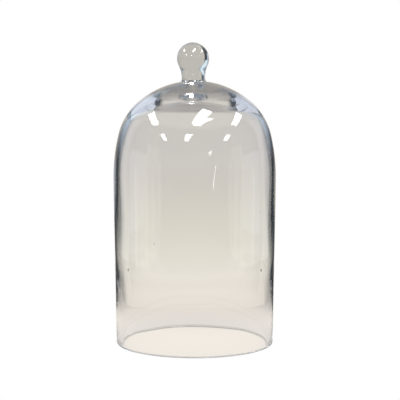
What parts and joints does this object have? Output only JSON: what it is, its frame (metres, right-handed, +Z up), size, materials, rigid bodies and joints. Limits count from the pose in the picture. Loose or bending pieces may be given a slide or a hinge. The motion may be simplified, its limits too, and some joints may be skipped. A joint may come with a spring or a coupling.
{
  "type": "bell jar dome",
  "caption": "Tall clear blown-glass display dome with an open ground rim, a rounded thick crown and a solid ball knob.",
  "frame": {"origin": "centre of the ground rim, on the plane that the dome stands on", "axes": "+Z up along the dome's axis, from the open mouth to the knob; +X and +Y are level, and -X is the side that the knob leans to"},
  "size_m": [0.1778, 0.1778, 0.3302],
  "materials": {
    "dome_glass": "clear colourless blown glass, fire-polished",
    "knob_glass": "clear colourless solid glass, fire-polished"
  },
  "bodies": {
    "root": {"dome_shell": "dome_glass", "knob": "knob_glass"}
  },
  "joints": []
}
